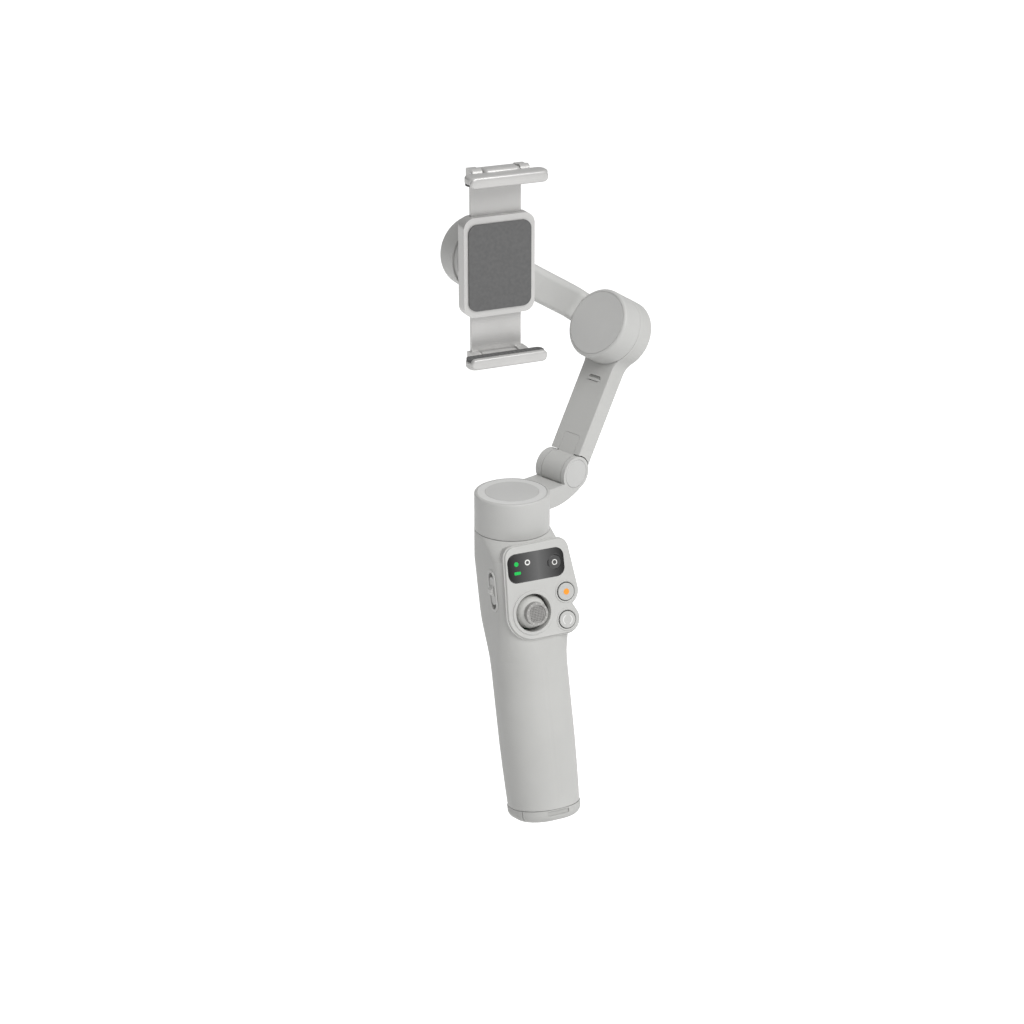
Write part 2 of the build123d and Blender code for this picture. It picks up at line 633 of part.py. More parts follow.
with BuildPart() as roll_magnets:
    ring(roll, roll_low + 3.6, roll_high + motor_gap, 14.4, 12.3)
finish(roll_magnets, "roll_magnets")

with BuildPart() as mount_plate:
    ring(roll, plate_back, plate_front, 14.6)
    for angle in (0, 180):
        with BuildSketch(turned(roll, angle).offset(plate_back)) as key:
            with Locations((14.2, 0)):
                Rectangle(3, 3.2)
        extrude(key.sketch, amount=2, mode=Mode.SUBTRACT)
finish(mount_plate, "mount_plate")

# ---- clamp ----
body_back, body_front = -8.0, -0.8
body_width, body_height = 34.0, 45.0
rail_width, rail_thick = 24.0, 1.8
rail_back = -6.3
rail_apart = 5.8            # each rail starts this far from the clamp's middle
half_open = phone_width / 2
pin_up, pin_back, jaw_pin_r, lug_r = 3.0, -1.0, 1.0, 2.6
barrel_half, lug_half = 9.0, 13.6

with BuildPart() as clamp_steel_ring:
    ring(roll, body_back - 1.0, body_back, 14.6, 8.0)
finish(clamp_steel_ring, "clamp_steel_ring")

with BuildPart() as clamp_body:
    slab(roll, body_back, body_front, body_width, body_height, 5)
    fillet(clamp_body.faces().sort_by(Axis.Y)[-1].edges(), 1.2)
    box(roll, rail_back - slide_gap, rail_back + rail_thick + slide_gap,
        rail_width + 2 * slide_gap, 80, mode=Mode.SUBTRACT)
finish(clamp_body, "clamp_body")

with BuildPart() as clamp_back_pad:
    slab(roll, body_front, 0, body_width - 4, body_height - 6, 4)
finish(clamp_back_pad, "clamp_back_pad")

for side_name, turn in (("upper", 0), ("lower", 180)):
    half = turned(roll, turn)
    hinge = Plane(origin=half.from_local_coords((0, half_open + pin_up, pin_back)),
                  x_dir=half.y_dir, z_dir=half.x_dir)
    jaw = Plane(origin=half.from_local_coords((0, half_open, 0)), x_dir=half.x_dir,
                z_dir=half.y_dir)
    # jaw: x along the jaw, y towards the back, z away from the phone's edge
    front_reach = phone_thick + jaw_lip
    plate_rear = 2.0
    with BuildPart() as rail:
        rail_end = half_open + pin_up + 1.6
        box(half, rail_back, rail_back + rail_thick, rail_width, rail_end - rail_apart,
            y=(rail_end + rail_apart) / 2)
        for x in (-1, 1):
            low = x * (barrel_half + lug_half) / 2
            ring(hinge.offset(low), -(lug_half - barrel_half) / 2 + 0.15,
                 (lug_half - barrel_half) / 2, lug_r)
            box(half, rail_back, pin_back, lug_half - barrel_half - 0.15, 4.6, x=low,
                y=half_open + pin_up - 0.3)
        bore(hinge, -barrel_half, barrel_half, lug_r + slide_gap)
        bore(hinge, -lug_half - 1, lug_half + 1, jaw_pin_r)
    finish(rail, f"{side_name}_jaw_rail")

    with BuildPart() as jaw_plate:
        slab(jaw, pad_thick, pad_thick + jaw_thick, jaw_length, front_reach - plate_rear, 3.6,
             y=-(front_reach + plate_rear) / 2)
        fillet(jaw_plate.faces().sort_by(Axis(jaw.origin, jaw.z_dir))[-1].edges(), 1.0)
        slab(jaw, -0.7, pad_thick + 0.5, jaw_length - 6, jaw_lip - 0.4, 0.8,
             y=-front_reach + jaw_lip / 2)
        ring(hinge, -barrel_half + 0.15, barrel_half - 0.15, lug_r)
        box(jaw, pad_thick + 0.2, pad_thick + jaw_thick - 0.4, 2 * barrel_half - 0.3, 5.6, y=-1.4)
        bore(hinge, -lug_half - 1, lug_half + 1, jaw_pin_r + fit)
    finish(jaw_plate, f"{side_name}_jaw")

    with BuildPart() as jaw_pad:
        slab(jaw, 0, pad_thick, jaw_length - 1.2, phone_thick - plate_rear - 0.2, 2.4,
             y=-(phone_thick + plate_rear) / 2)
    finish(jaw_pad, f"{side_name}_jaw_pad")

    with BuildPart() as jaw_pin:
        ring(hinge, -lug_half, lug_half, jaw_pin_r)
    finish(jaw_pin, f"{side_name}_jaw_pin")

# ---- tripod: three stowed legs on a carrier that slides out along the post ----
carrier_low, carrier_high = 49.0, 55.8
leg_in, leg_out, leg_wide = 7.2, 12.6, 9.0
leg_pin_z, leg_pin_r = 52.4, 1.0
seam = 0.25

with BuildPart() as tripod_carrier:
    ring(grip, carrier_low, carrier_high, 13.6, post_r + slide_gap)
    for angle in (270, 30, 150):
        along = turned(grip, angle)
        box(along, carrier_low, carrier_high, 9.0, leg_wide + 0.4, x=leg_in - 0.2 + 4.5,
            mode=Mode.SUBTRACT)
        across = Plane(origin=along.from_local_coords(((leg_in + leg_out) / 2, 0, leg_pin_z)),
                       x_dir=along.x_dir, z_dir=along.y_dir)
        bore(across, -6.4, 6.4, leg_pin_r)
finish(tripod_carrier, "tripod_carrier")

for name, angle in (("front", 270), ("right", 30), ("left", 150)):
    along = turned(grip, angle)
    across = Plane(origin=along.from_local_coords(((leg_in + leg_out) / 2, 0, leg_pin_z)),
                   x_dir=along.x_dir, z_dir=along.y_dir)
    w = grip_half_width - 0.9
    with BuildPart() as leg:
        foot_outline = grip_section(grip, w, w, w, w - 2.4, w - 2.4)
        extrude(foot_outline, amount=feet_height - seam)
        fillet(leg.faces().sort_by(Axis(grip.origin, grip.z_dir))[0].edges(), 4.0)
        bore(grip, -1, feet_height, post_r + slide_gap)
        with BuildSketch(along) as sector:
            with BuildLine():
                Polyline((0.25, 0), (20.25, 34.64), (40, 34.64), (40, -34.64), (20.25, -34.64),
                         close=True)
            make_face()
        extrude(sector.sketch, amount=feet_height, mode=Mode.INTERSECT)
        slab(along, feet_height - seam - 0.5, carrier_high - 0.6, leg_out - leg_in, leg_wide, 1.4,
             x=(leg_in + leg_out) / 2)
        bore(across, -10, 10, leg_pin_r)
        if name == "front":
            slab(Plane(origin=grip.from_local_coords((0, -w, 4.4)), x_dir=grip.x_dir,
                       z_dir=-grip.y_dir), -1.0, 3, 11, 2.2, 0.6, mode=Mode.SUBTRACT)
    finish(leg, f"tripod_leg_{name}")

with BuildPart() as leg_pins:
    for angle in (270, 30, 150):
        along = turned(grip, angle)
        across = Plane(origin=along.from_local_coords(((leg_in + leg_out) / 2, 0, leg_pin_z)),
                       x_dir=along.x_dir, z_dir=along.y_dir)
        ring(across, -6.4, 6.4, leg_pin_r)
finish(leg_pins, "leg_pins")
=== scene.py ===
# %% [markdown]
# # Handheld phone gimbal
# A gimbal keeps a phone steady with three small motors. A leaning grip carries the pan motor,
# a folding arm carries the tilt motor, and a short bent link carries the roll motor, which a
# spring clamp sits on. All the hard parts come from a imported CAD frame. This notebook gives
# each of them a finish, puts a wider window and softer jaws in place of the plain ones, and
# adds the printed marks, lamps, dots and ribs that are too fine for the CAD model.

# %% The frame
import json
import math

import bpy
import numpy as np
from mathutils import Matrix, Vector


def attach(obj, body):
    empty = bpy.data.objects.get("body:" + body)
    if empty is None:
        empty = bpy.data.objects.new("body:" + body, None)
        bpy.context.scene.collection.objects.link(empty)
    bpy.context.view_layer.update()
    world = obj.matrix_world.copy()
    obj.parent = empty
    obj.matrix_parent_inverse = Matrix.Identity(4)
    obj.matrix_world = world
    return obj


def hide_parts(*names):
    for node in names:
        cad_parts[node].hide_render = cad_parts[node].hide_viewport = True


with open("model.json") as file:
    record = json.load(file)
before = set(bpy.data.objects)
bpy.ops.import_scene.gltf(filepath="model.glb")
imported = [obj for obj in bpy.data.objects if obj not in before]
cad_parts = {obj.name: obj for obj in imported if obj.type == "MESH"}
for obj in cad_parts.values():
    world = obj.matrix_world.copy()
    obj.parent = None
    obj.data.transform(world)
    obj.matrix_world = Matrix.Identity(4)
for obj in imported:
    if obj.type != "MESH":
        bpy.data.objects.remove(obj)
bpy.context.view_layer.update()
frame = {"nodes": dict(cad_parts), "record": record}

nodes = frame["nodes"]

# %% [markdown]
# ## Directions
# Most details sit on leaning faces, so their places are worked out in small local frames.
# The frame's own joints say where those faces look: a button slides straight into the
# control panel, the zoom slider slides along the grip, and the two joints of the joystick
# cross on its dome. Reading them from the joints keeps every detail on its face.

# %% Local directions
joints = {joint["name"]: joint for joint in frame["record"]["behaviour"]["joints"]}
mm = 0.001


def unit(v):
    """The vector at length one."""
    v = np.asarray(v, float)
    return v / np.linalg.norm(v)


panel_out = -unit(joints["mode_press"]["axis"])
grip_up = unit(joints["zoom_slide"]["axis"])
right = np.array([1.0, 0.0, 0.0])
stick_out = unit(np.cross(joints["stick_up_down"]["axis"], joints["stick_left_right"]["axis"]))
stick_out = stick_out if stick_out @ panel_out > 0 else -stick_out
print("panel looks along", panel_out.round(3), "grip rises along", grip_up.round(3))


# %% [markdown]
# ## Places read from the frame
# A dot on a button has to lie on that button's face, wherever the CAD model put it. Its place
# could be typed in, but a change to the model would leave the dot behind. So the face is
# found on the mesh, as the vertices that lie furthest out. The window and the gaps belong to
# the control plate and have no face of their own, so their places are in its u and v.

# %% Finding a face on a node
def face_centre(node, out, across, reach=0.00005):
    """The middle of a node's outermost flat face, looking along out.

    It takes the vertices that lie furthest along out and returns the middle of their
    extent along the two directions of the face.
    """
    mesh = nodes[node].data
    points = np.empty(len(mesh.vertices) * 3)
    mesh.vertices.foreach_get("co", points)
    points = points.reshape(-1, 3)
    height = points @ out
    face = points[height > height.max() - reach]
    side = np.cross(out, across)
    middles = [0.5 * ((face @ d).min() + (face @ d).max()) for d in (across, side)]
    return middles[0] * across + middles[1] * side + height.max() * out


record_face = face_centre("record_button", panel_out, right)
switch_face = face_centre("switch_button", panel_out, right)
mode_face = face_centre("mode_button", panel_out, right)
stick_rim = face_centre("joystick_cap", stick_out, right)
print("record button's face at", (record_face / mm).round(2), "mm")

plate_height = 19.4     # the control plate's face, out from the line where v is measured


def on_plate(u, v):
    """A place on the control plate: u mm to the right and v mm up the grip."""
    return (u * right + v * grip_up + plate_height * panel_out) * mm


# each key's middle on the control plate, u and v, and the radius of the gap round it, in mm
keys = {"mode": (9.3, 120.6, 3.4), "record": (13.4, 106.3, 4.18), "switch": (12.7, 93.4, 4.08)}
window_u, window_v = 0.1, 120.6
window_width, window_height = 28.0, 13.4
window_middle = on_plate(window_u, window_v)


# %% [markdown]
# ## From arrays to meshes
# Every added piece is a grid of points worked out by numpy from two parameters. One helper
# turns such a grid into faces, and can join its ends into a loop. Another puts the mesh into
# the scene with one material, and says which body it rides on.

# %% Grid and placing helpers
def grid_faces(rows, columns, close_rows=False, close_columns=False):
    """Quads over a rows by columns grid of points, wrapped round where asked."""
    r = np.arange(rows if close_rows else rows - 1)
    c = np.arange(columns if close_columns else columns - 1)
    r, c = np.meshgrid(r, c, indexing="ij")
    r, c = r.ravel(), c.ravel()
    rn, cn = (r + 1) % rows, (c + 1) % columns
    return np.stack([r * columns + c, r * columns + cn, rn * columns + cn, rn * columns + c], 1)


def put(name, points, faces, body, slot, finish, smooth=True):
    """A mesh object from arrays, riding on a body, with one material."""
    mesh = bpy.data.meshes.new(name)
    mesh.from_pydata(np.asarray(points).tolist(), [], np.asarray(faces).tolist())
    mesh.validate()
    mesh.polygons.foreach_set("use_smooth", np.full(len(mesh.polygons), smooth))
    mesh.materials.append(finish)
    mesh.update()
    piece = bpy.data.objects.new(name, mesh)
    bpy.context.collection.objects.link(piece)
    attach(piece, body)
    print(name, len(mesh.polygons), "faces")
    return piece


# %% [markdown]
# ## Shapes used more than once
# Marks on a moulding are low and flat-topped, so a profile of height carried round an outline
# makes them: a circle's outline gives a dot, and a rounded rectangle's a pill. The same hump
# carried round a circle instead gives a band, or a hoop when it closes on itself.

# %% Dots, pills, bands and hoops
def mound(centre, out, across, outline, profile):
    """A closed low mound.

    Point (i, j) is the outline's point j drawn in by the profile's share i and lifted by the
    profile's height i: centre + share * (x * across + y * side) + height * out. The first
    and last rows shrink to a thousandth, so only a pinprick is open above and below.
    """
    side = np.cross(out, across)
    share, height = np.array(profile).T
    x, y = outline
    flat = x[None, :, None] * across + y[None, :, None] * side
    points = centre + share[:, None, None] * flat + height[:, None, None] * out
    rows, columns = points.shape[:2]
    faces = grid_faces(rows, columns, close_columns=True)
    return points.reshape(-1, 3), faces


def soft_profile(height, sink=0.00005, steps=5):
    """A profile that starts under the surface, rises round its rim and closes on top."""
    turn = np.linspace(0, math.pi / 2, steps)
    rows = [(0.001, -sink), (0.97, -sink)]
    rows += [(0.97 + 0.03 * math.cos(b), height * (0.3 + 0.7 * math.sin(b))) for b in turn]
    rows += [(0.8, height), (0.45, height), (0.001, height)]
    return rows


def circle(radius, count=40):
    """An outline: x = r cos a, y = r sin a."""
    a = np.linspace(0, 2 * math.pi, count, endpoint=False)
    return radius * np.cos(a), radius * np.sin(a)


def rounded(width, depth, corner, count=9):
    """A rectangle's outline whose corners are quarter circles, corner after corner."""
    a = np.linspace(0, math.pi / 2, count)
    turns = a[None, :] + np.arange(4)[:, None] * math.pi / 2
    sx = np.array([1, -1, -1, 1])[:, None]
    sy = np.array([1, 1, -1, -1])[:, None]
    x = sx * (width / 2 - corner) + corner * np.cos(turns)
    y = sy * (depth / 2 - corner) + corner * np.sin(turns)
    return x.ravel(), y.ravel()


def band(centre, out, across, radius, half_width, start, end, height, count=24):
    """A raised band along part of a circle.

    Point (i, j) lies at angle j between start and end, at the circle's radius plus the
    section's offset i, and at the section's height i. The section is a flat-topped hump.
    """
    side = np.cross(out, across)
    a = np.radians(np.linspace(start, end, count))
    offset = half_width * np.array([1.0, 0.9, 0.6, -0.6, -0.9, -1.0])
    rise = height * np.array([-1.0, 0.7, 1.0, 1.0, 0.7, -1.0])
    taper = np.clip(np.minimum(a - a[0], a[-1] - a) * radius / half_width, 0, 1) ** 0.5
    r = radius + offset[:, None] * np.maximum(taper, 0.02)[None, :]
    points = (centre + (r * np.cos(a))[..., None] * across + (r * np.sin(a))[..., None] * side
              + (rise[:, None] * np.ones(count))[..., None] * out)
    return points.reshape(-1, 3), grid_faces(6, count, close_rows=True)


def hoop(centre, out, across, radius, half_width, height, count=40):
    """A closed raised ring.

    Point (i, j) is centre + (radius + offset i) * (cos a * across + sin a * side)
    + height i * out, with a going once round.
    """
    side = np.cross(out, across)
    a = np.linspace(0, 2 * math.pi, count, endpoint=False)
    r = radius + half_width * np.array([1.0, 0.8, -0.8, -1.0])
    rise = height * np.array([-1.0, 1.0, 1.0, -1.0])
    points = (centre + (r[:, None] * np.cos(a))[..., None] * across
              + (r[:, None] * np.sin(a))[..., None] * side + rise[:, None, None] * out)
    return points.reshape(-1, 3), grid_faces(4, count, close_rows=True, close_columns=True)


# %% [markdown]
# ## Plates with soft edges, and copies
# Pressed and moulded plates have the same soft edge all round, so scaling an outline down
# would be wrong: it draws the long sides in further than the short ones. Each row here is a
# new rounded rectangle, drawn in by a true distance. Repeated details are one small mesh
# whose points are added to a list of places.

# %% Soft plates and copies
def rounded_plate(centre, out, across, width, depth, corner, low, high, edge_low, edge_high):
    """A closed plate between two heights, with its two rims rounded.

    Row i is the rectangle's outline drawn in by d and lifted to h. Round the top rim
    d = R (1 - cos b) and h = high - R (1 - sin b) for b from 0 to 90 degrees, and the same
    upside down round the bottom one. The first and last rows shrink to a thousandth, so
    only a pinprick is left open.
    """
    side = np.cross(out, across)
    turn = np.linspace(0, math.pi / 2, 6)
    drawn = np.concatenate([edge_low * (1 - np.cos(turn[::-1])), edge_high * (1 - np.cos(turn))])
    height = np.concatenate([low + edge_low * (1 - np.sin(turn[::-1])),
                             high - edge_high * (1 - np.sin(turn))])
    drawn = np.concatenate([drawn[:1], drawn, drawn[-1:]])
    height = np.concatenate([height[:1], height, height[-1:]])
    share = np.ones(len(drawn))
    share[[0, -1]] = 0.001
    least = 0.05 * mm
    x, y = np.stack([rounded(width - 2 * d, depth - 2 * d, max(corner - d, least)) for d in drawn], 1)
    points = (centre + (share[:, None] * x)[..., None] * across
              + (share[:, None] * y)[..., None] * side + height[:, None, None] * out)
    rows, columns = points.shape[:2]
    return points.reshape(-1, 3), grid_faces(rows, columns, close_columns=True)


def holed_plate(centre, out, across, outline, hole, radius, rise):
    """A thin plate with an outline and a round hole, as rings between the two.

    The points of ring i are hole + u (r + s i (d - r)), where u points from the hole's
    middle to an outline point, d is how far that point is, and s i falls from 1 at the
    outline to 0 at the hole's circle. The first and last rings drop below the face.
    """
    side = np.cross(out, across)
    flat = np.stack(outline, -1) - np.asarray(hole)
    far = np.hypot(flat[:, 0], flat[:, 1])
    toward = flat / far[:, None]
    share = np.array([1.0, 1.0, 0.97, 0.7, 0.3, 0.02, 0.0, 0.0])
    lift = rise * np.array([-2.0, 0.6, 1.0, 1.0, 1.0, 1.0, 0.6, -8.0])
    reach = radius + share[:, None] * (far - radius)
    xy = np.asarray(hole) + toward[None] * reach[..., None]
    points = centre + xy[..., :1] * across + xy[..., 1:] * side + lift[:, None, None] * out
    return points.reshape(-1, 3), grid_faces(len(share), len(far), close_columns=True)


def repeat(points, faces, places):
    """The same small mesh at every place: its points plus each place in turn."""
    shift = np.arange(len(places))[:, None, None] * len(points)
    return (places[:, None] + points[None]).reshape(-1, 3), (faces + shift).reshape(-1, 4)


def merged(*meshes):
    """Several meshes as one."""
    points, faces = zip(*meshes)
    before = np.cumsum([0] + [len(p) for p in points[:-1]])
    return np.concatenate(points), np.concatenate([f + n for f, n in zip(faces, before)])


# %% [markdown]
# ## Moulded plastic
# The housings are filled polycarbonate with a fine spark-eroded grain. Up close the grain is
# a dense bump, and from further off the colour drifts very slightly over the part. Edges that
# hands rub are a touch smoother and lighter. A Bevel node finds those edges by comparing
# the rounded normal with the true one, which works on any mesh, even one of loose triangles.

# %% Node helpers
def new_material(name):
    """An empty material with its Principled shader and Object coordinates."""
    material = bpy.data.materials.new(name)
    material.use_nodes = True
    tree = material.node_tree
    shader = tree.nodes["Principled BSDF"]
    where = tree.nodes.new("ShaderNodeTexCoord").outputs["Object"]
    return material, tree, shader, where


def noise(tree, where, scale, detail=3.0, rough=0.55):
    """A noise value of so many features a metre."""
    node = tree.nodes.new("ShaderNodeTexNoise")
    node.inputs["Scale"].default_value = scale
    node.inputs["Detail"].default_value = detail
    node.inputs["Roughness"].default_value = rough
    tree.links.new(where, node.inputs["Vector"])
    return node.outputs["Fac"]


def remap(tree, value, low, high, to_low, to_high):
    """A value carried from one range to another, and held inside it."""
    node = tree.nodes.new("ShaderNodeMapRange")
    for key, number in (("From Min", low), ("From Max", high), ("To Min", to_low), ("To Max", to_high)):
        node.inputs[key].default_value = number
    tree.links.new(value, node.inputs["Value"])
    return node.outputs["Result"]


def blend_colours(tree, factor, a, b):
    """A mix of two colours, or of a colour and another node's colour."""
    node = tree.nodes.new("ShaderNodeMix")
    node.data_type = "RGBA"
    tree.links.new(factor, node.inputs["Factor"])
    for key, colour in ((6, a), (7, b)):
        if isinstance(colour, tuple):
            node.inputs[key].default_value = (*colour, 1)
        else:
            tree.links.new(colour, node.inputs[key])
    return node.outputs[2]


def bump(tree, height, distance, strength=1.0, under=None):
    """A bump of so many metres from a height value, over another bump where given."""
    node = tree.nodes.new("ShaderNodeBump")
    node.inputs["Distance"].default_value = distance
    node.inputs["Strength"].default_value = strength
    tree.links.new(height, node.inputs["Height"])
    if under is not None:
        tree.links.new(under, node.inputs["Normal"])
    return node.outputs["Normal"]


def rubbed_edges(tree, radius):
    """How far the surface is rounded off nearby: 0 on flats, 1 on a sharp outer edge."""
    bevel = tree.nodes.new("ShaderNodeBevel")
    bevel.samples = 4
    bevel.inputs["Radius"].default_value = radius
    geometry = tree.nodes.new("ShaderNodeNewGeometry")
    dot = tree.nodes.new("ShaderNodeVectorMath")
    dot.operation = "DOT_PRODUCT"
    tree.links.new(bevel.outputs["Normal"], dot.inputs[0])
    tree.links.new(geometry.outputs["Normal"], dot.inputs[1])
    return remap(tree, dot.outputs["Value"], 0.99, 0.88, 0.0, 1.0)


# %% [markdown]
# ## One recipe for every plastic
# All the plastics share a recipe and differ in colour, gloss and grain, so it is a function.
# The joystick's cap is one moulding with a darker pad on top. It could be cut into two
# materials by faces, but a colour that changes at a height along the stick is simpler.

# %% The plastic recipe
def moulded(name, colour, rough=0.5, grain=3200.0, depth=0.00004, edges=True, specular=0.45):
    """Grained plastic: slow colour drift, fine grain bump and slightly polished edges."""
    material, tree, shader, where = new_material(name)
    darker = tuple(0.955 * c for c in colour)
    lighter = tuple(min(1.06 * c, 1) for c in colour)
    drift = remap(tree, noise(tree, where, 38.0), 0.35, 0.65, 0.0, 1.0)
    tint = blend_colours(tree, drift, darker, colour)
    speckle = noise(tree, where, grain * 0.6, 2.0)
    if edges:
        worn = rubbed_edges(tree, 0.0005)
        tint = blend_colours(tree, remap(tree, worn, 0.0, 1.0, 0.0, 0.8), tint, lighter)
    tree.links.new(tint, shader.inputs["Base Color"])
    tree.links.new(remap(tree, speckle, 0.3, 0.7, rough - 0.06, rough + 0.08), shader.inputs["Roughness"])
    shader.inputs["Specular IOR Level"].default_value = specular
    tree.links.new(bump(tree, noise(tree, where, grain, 4.0, 0.6), depth, 0.6), shader.inputs["Normal"])
    return material


def two_tone(name, axis, level, below, above, rough):
    """Plastic of one colour under a level along an axis, and of another over it."""
    material, tree, shader, where = new_material(name)
    along = tree.nodes.new("ShaderNodeVectorMath")
    along.operation = "DOT_PRODUCT"
    along.inputs[1].default_value = tuple(float(a) for a in axis)
    tree.links.new(where, along.inputs[0])
    part = remap(tree, along.outputs["Value"], level - 0.0001, level + 0.0001, 0.0, 1.0)
    tree.links.new(blend_colours(tree, part, below, above), shader.inputs["Base Color"])
    tree.links.new(remap(tree, noise(tree, where, 1900.0), 0.3, 0.7, rough - 0.05, rough + 0.08),
                   shader.inputs["Roughness"])
    tree.links.new(bump(tree, noise(tree, where, 2800.0, 4.0, 0.6), 0.00004, 0.6), shader.inputs["Normal"])
    return material


pad_thickness = 2.9 * mm
finishes = {
    "shell_plastic": moulded("shell_plastic", (0.53, 0.53, 0.515), 0.52),
    "panel_plastic": moulded("panel_plastic", (0.56, 0.56, 0.545), 0.48, 3600, 0.00003),
    "button_plastic": moulded("button_plastic", (0.545, 0.545, 0.53), 0.42, 4200, 0.00002),
    "mode_plastic": moulded("mode_plastic", (0.065, 0.065, 0.065), 0.40, 4200, 0.00002),
    "motor_paint": moulded("motor_paint", (0.54, 0.54, 0.527), 0.46, 3800, 0.00003),
    "arm_plastic": moulded("arm_plastic", (0.535, 0.535, 0.52), 0.48, 3500, 0.00003),
    "cap_plastic": moulded("cap_plastic", (0.55, 0.55, 0.54), 0.46, 3600, 0.00003),
    "foot_rubber": moulded("foot_rubber", (0.50, 0.50, 0.485), 0.58, 2800, 0.00005),
    # the stick's colour under the pad is lighter than the shell's: painted light that lifts the shade of the
    # stick's well
    "stick_rubber": two_tone("stick_rubber", stick_out, stick_rim @ stick_out - pad_thickness,
                             (0.62, 0.62, 0.60), (0.34, 0.335, 0.325), 0.56),
}
print("plastics:", ", ".join(finishes))


# %% [markdown]
# ## Metal
# The clamp's jaws and rails are pressed metal with a satin coat: still pale grey, but with
# a smoother, silkier sheen than the plastic. Pins, screws and the plate that the clamp snaps
# to are bare and turned, so they get long fine scratches made by squeezing a noise along
# one direction.

# %% Coated and bare metal
def satin_coat(name, colour):
    """Painted metal: a soft metallic base under fine orange peel."""
    material, tree, shader, where = new_material(name)
    drift = remap(tree, noise(tree, where, 60.0), 0.35, 0.65, 0.0, 1.0)
    tint = blend_colours(tree, drift, tuple(0.95 * c for c in colour), colour)
    worn = rubbed_edges(tree, 0.0004)
    bright = (0.66, 0.655, 0.645)
    tint = blend_colours(tree, remap(tree, worn, 0.0, 1.0, 0.0, 0.5), tint, bright)
    tree.links.new(tint, shader.inputs["Base Color"])
    shader.inputs["Metallic"].default_value = 0.35
    tree.links.new(remap(tree, noise(tree, where, 2200.0), 0.3, 0.7, 0.30, 0.40), shader.inputs["Roughness"])
    tree.links.new(bump(tree, noise(tree, where, 1500.0), 0.00002, 0.5), shader.inputs["Normal"])
    return material


def turned_metal(name, colour, rough, squeeze=(400.0, 400.0, 9000.0), metallic=1.0):
    """Bare metal with scratches drawn out along one direction."""
    material, tree, shader, where = new_material(name)
    stretch = tree.nodes.new("ShaderNodeMapping")
    stretch.inputs["Scale"].default_value = squeeze
    tree.links.new(where, stretch.inputs["Vector"])
    lines = noise(tree, stretch.outputs["Vector"], 1.0, 5.0, 0.7)
    drift = remap(tree, noise(tree, where, 150.0), 0.3, 0.7, 0.0, 1.0)
    tint = blend_colours(tree, drift, tuple(0.82 * c for c in colour), colour)
    tree.links.new(tint, shader.inputs["Base Color"])
    shader.inputs["Metallic"].default_value = metallic
    tree.links.new(remap(tree, lines, 0.3, 0.7, rough - 0.08, rough + 0.12), shader.inputs["Roughness"])
    tree.links.new(bump(tree, lines, 0.00001, 0.5), shader.inputs["Normal"])
    return material


finishes.update({
    "clamp_paint": satin_coat("clamp_paint", (0.54, 0.535, 0.525)),
    "steel": turned_metal("steel", (0.56, 0.56, 0.57), 0.28),
    "bare_aluminium": turned_metal("bare_aluminium", (0.72, 0.72, 0.73), 0.34),
    "magnet": turned_metal("magnet", (0.40, 0.40, 0.42), 0.22),
    "brass_insert": turned_metal("brass_insert", (0.75, 0.56, 0.26), 0.26),
    "iron_core": turned_metal("iron_core", (0.28, 0.20, 0.15), 0.45, (200.0, 200.0, 4000.0), 0.7),
})
print("metals added:", len(finishes), "finishes so far")


# %% [markdown]
# ## Window, rubber and the inside parts
# The control panel's window is a dark acrylic cover with a hard gloss coat. Its colour is
# painted lighter across the middle, as a painted reflection in the gloss. The
# clamp's pads are soft rubber. The parts inside the grip only show through slots, but a
# pack of cells in shrink wrap and a green board still read as what they are.

# %% The remaining finishes
def window(name):
    """Dark gloss acrylic, painted lighter towards the window's middle as a reflection."""
    material, tree, shader, where = new_material(name)
    split = tree.nodes.new("ShaderNodeSeparateXYZ")
    tree.links.new(where, split.inputs["Vector"])
    middle, half = window_middle[0], window_width / 2 * mm
    # painted reflection: the dark window is lighter across its middle, brightest 1 mm right of it
    reflection_peak = middle + 1.0 * mm
    reflection_left = remap(tree, split.outputs["X"], middle - half, reflection_peak, 0.0, 1.0)
    reflection_right = remap(tree, split.outputs["X"], middle + half, reflection_peak, 0.0, 1.0)
    painted_reflection = tree.nodes.new("ShaderNodeMath")
    painted_reflection.operation = "MULTIPLY"
    tree.links.new(reflection_left, painted_reflection.inputs[0])
    tree.links.new(reflection_right, painted_reflection.inputs[1])
    # the painted reflection blends the near-black acrylic towards a lighter grey
    tint = blend_colours(tree, painted_reflection.outputs[0], (0.006, 0.006, 0.006), (0.13, 0.13, 0.13))
    tree.links.new(tint, shader.inputs["Base Color"])
    tree.links.new(remap(tree, noise(tree, where, 900.0), 0.3, 0.7, 0.16, 0.22), shader.inputs["Roughness"])
    shader.inputs["Specular IOR Level"].default_value = 0.3
    shader.inputs["Coat Weight"].default_value = 0.25
    shader.inputs["Coat Roughness"].default_value = 0.08
    return material


def soft_rubber(name, colour):
    """Matt rubber with a pebbled surface and a dusty bloom."""
    material, tree, shader, where = new_material(name)
    bloom = remap(tree, noise(tree, where, 700.0, 3.0), 0.35, 0.75, 0.0, 1.0)
    dusty = tuple(1.18 * c for c in colour)
    tree.links.new(blend_colours(tree, bloom, colour, dusty), shader.inputs["Base Color"])
    tree.links.new(remap(tree, noise(tree, where, 1400.0), 0.3, 0.7, 0.62, 0.8), shader.inputs["Roughness"])
    shader.inputs["Specular IOR Level"].default_value = 0.3
    tree.links.new(bump(tree, noise(tree, where, 2400.0, 2.0), 0.00006, 0.6), shader.inputs["Normal"])
    return material


def lamp(name, colour, strength):
    """A small lit mark: its own colour, glowing through a slightly uneven diffuser."""
    material, tree, shader, where = new_material(name)
    uneven = remap(tree, noise(tree, where, 1800.0), 0.3, 0.7, 0.0, 1.0)
    tint = blend_colours(tree, uneven, tuple(0.8 * c for c in colour), colour)
    tree.links.new(tint, shader.inputs["Base Color"])
    tree.links.new(tint, shader.inputs["Emission Color"])
    shader.inputs["Emission Strength"].default_value = strength
    shader.inputs["Roughness"].default_value = 0.35
    return material


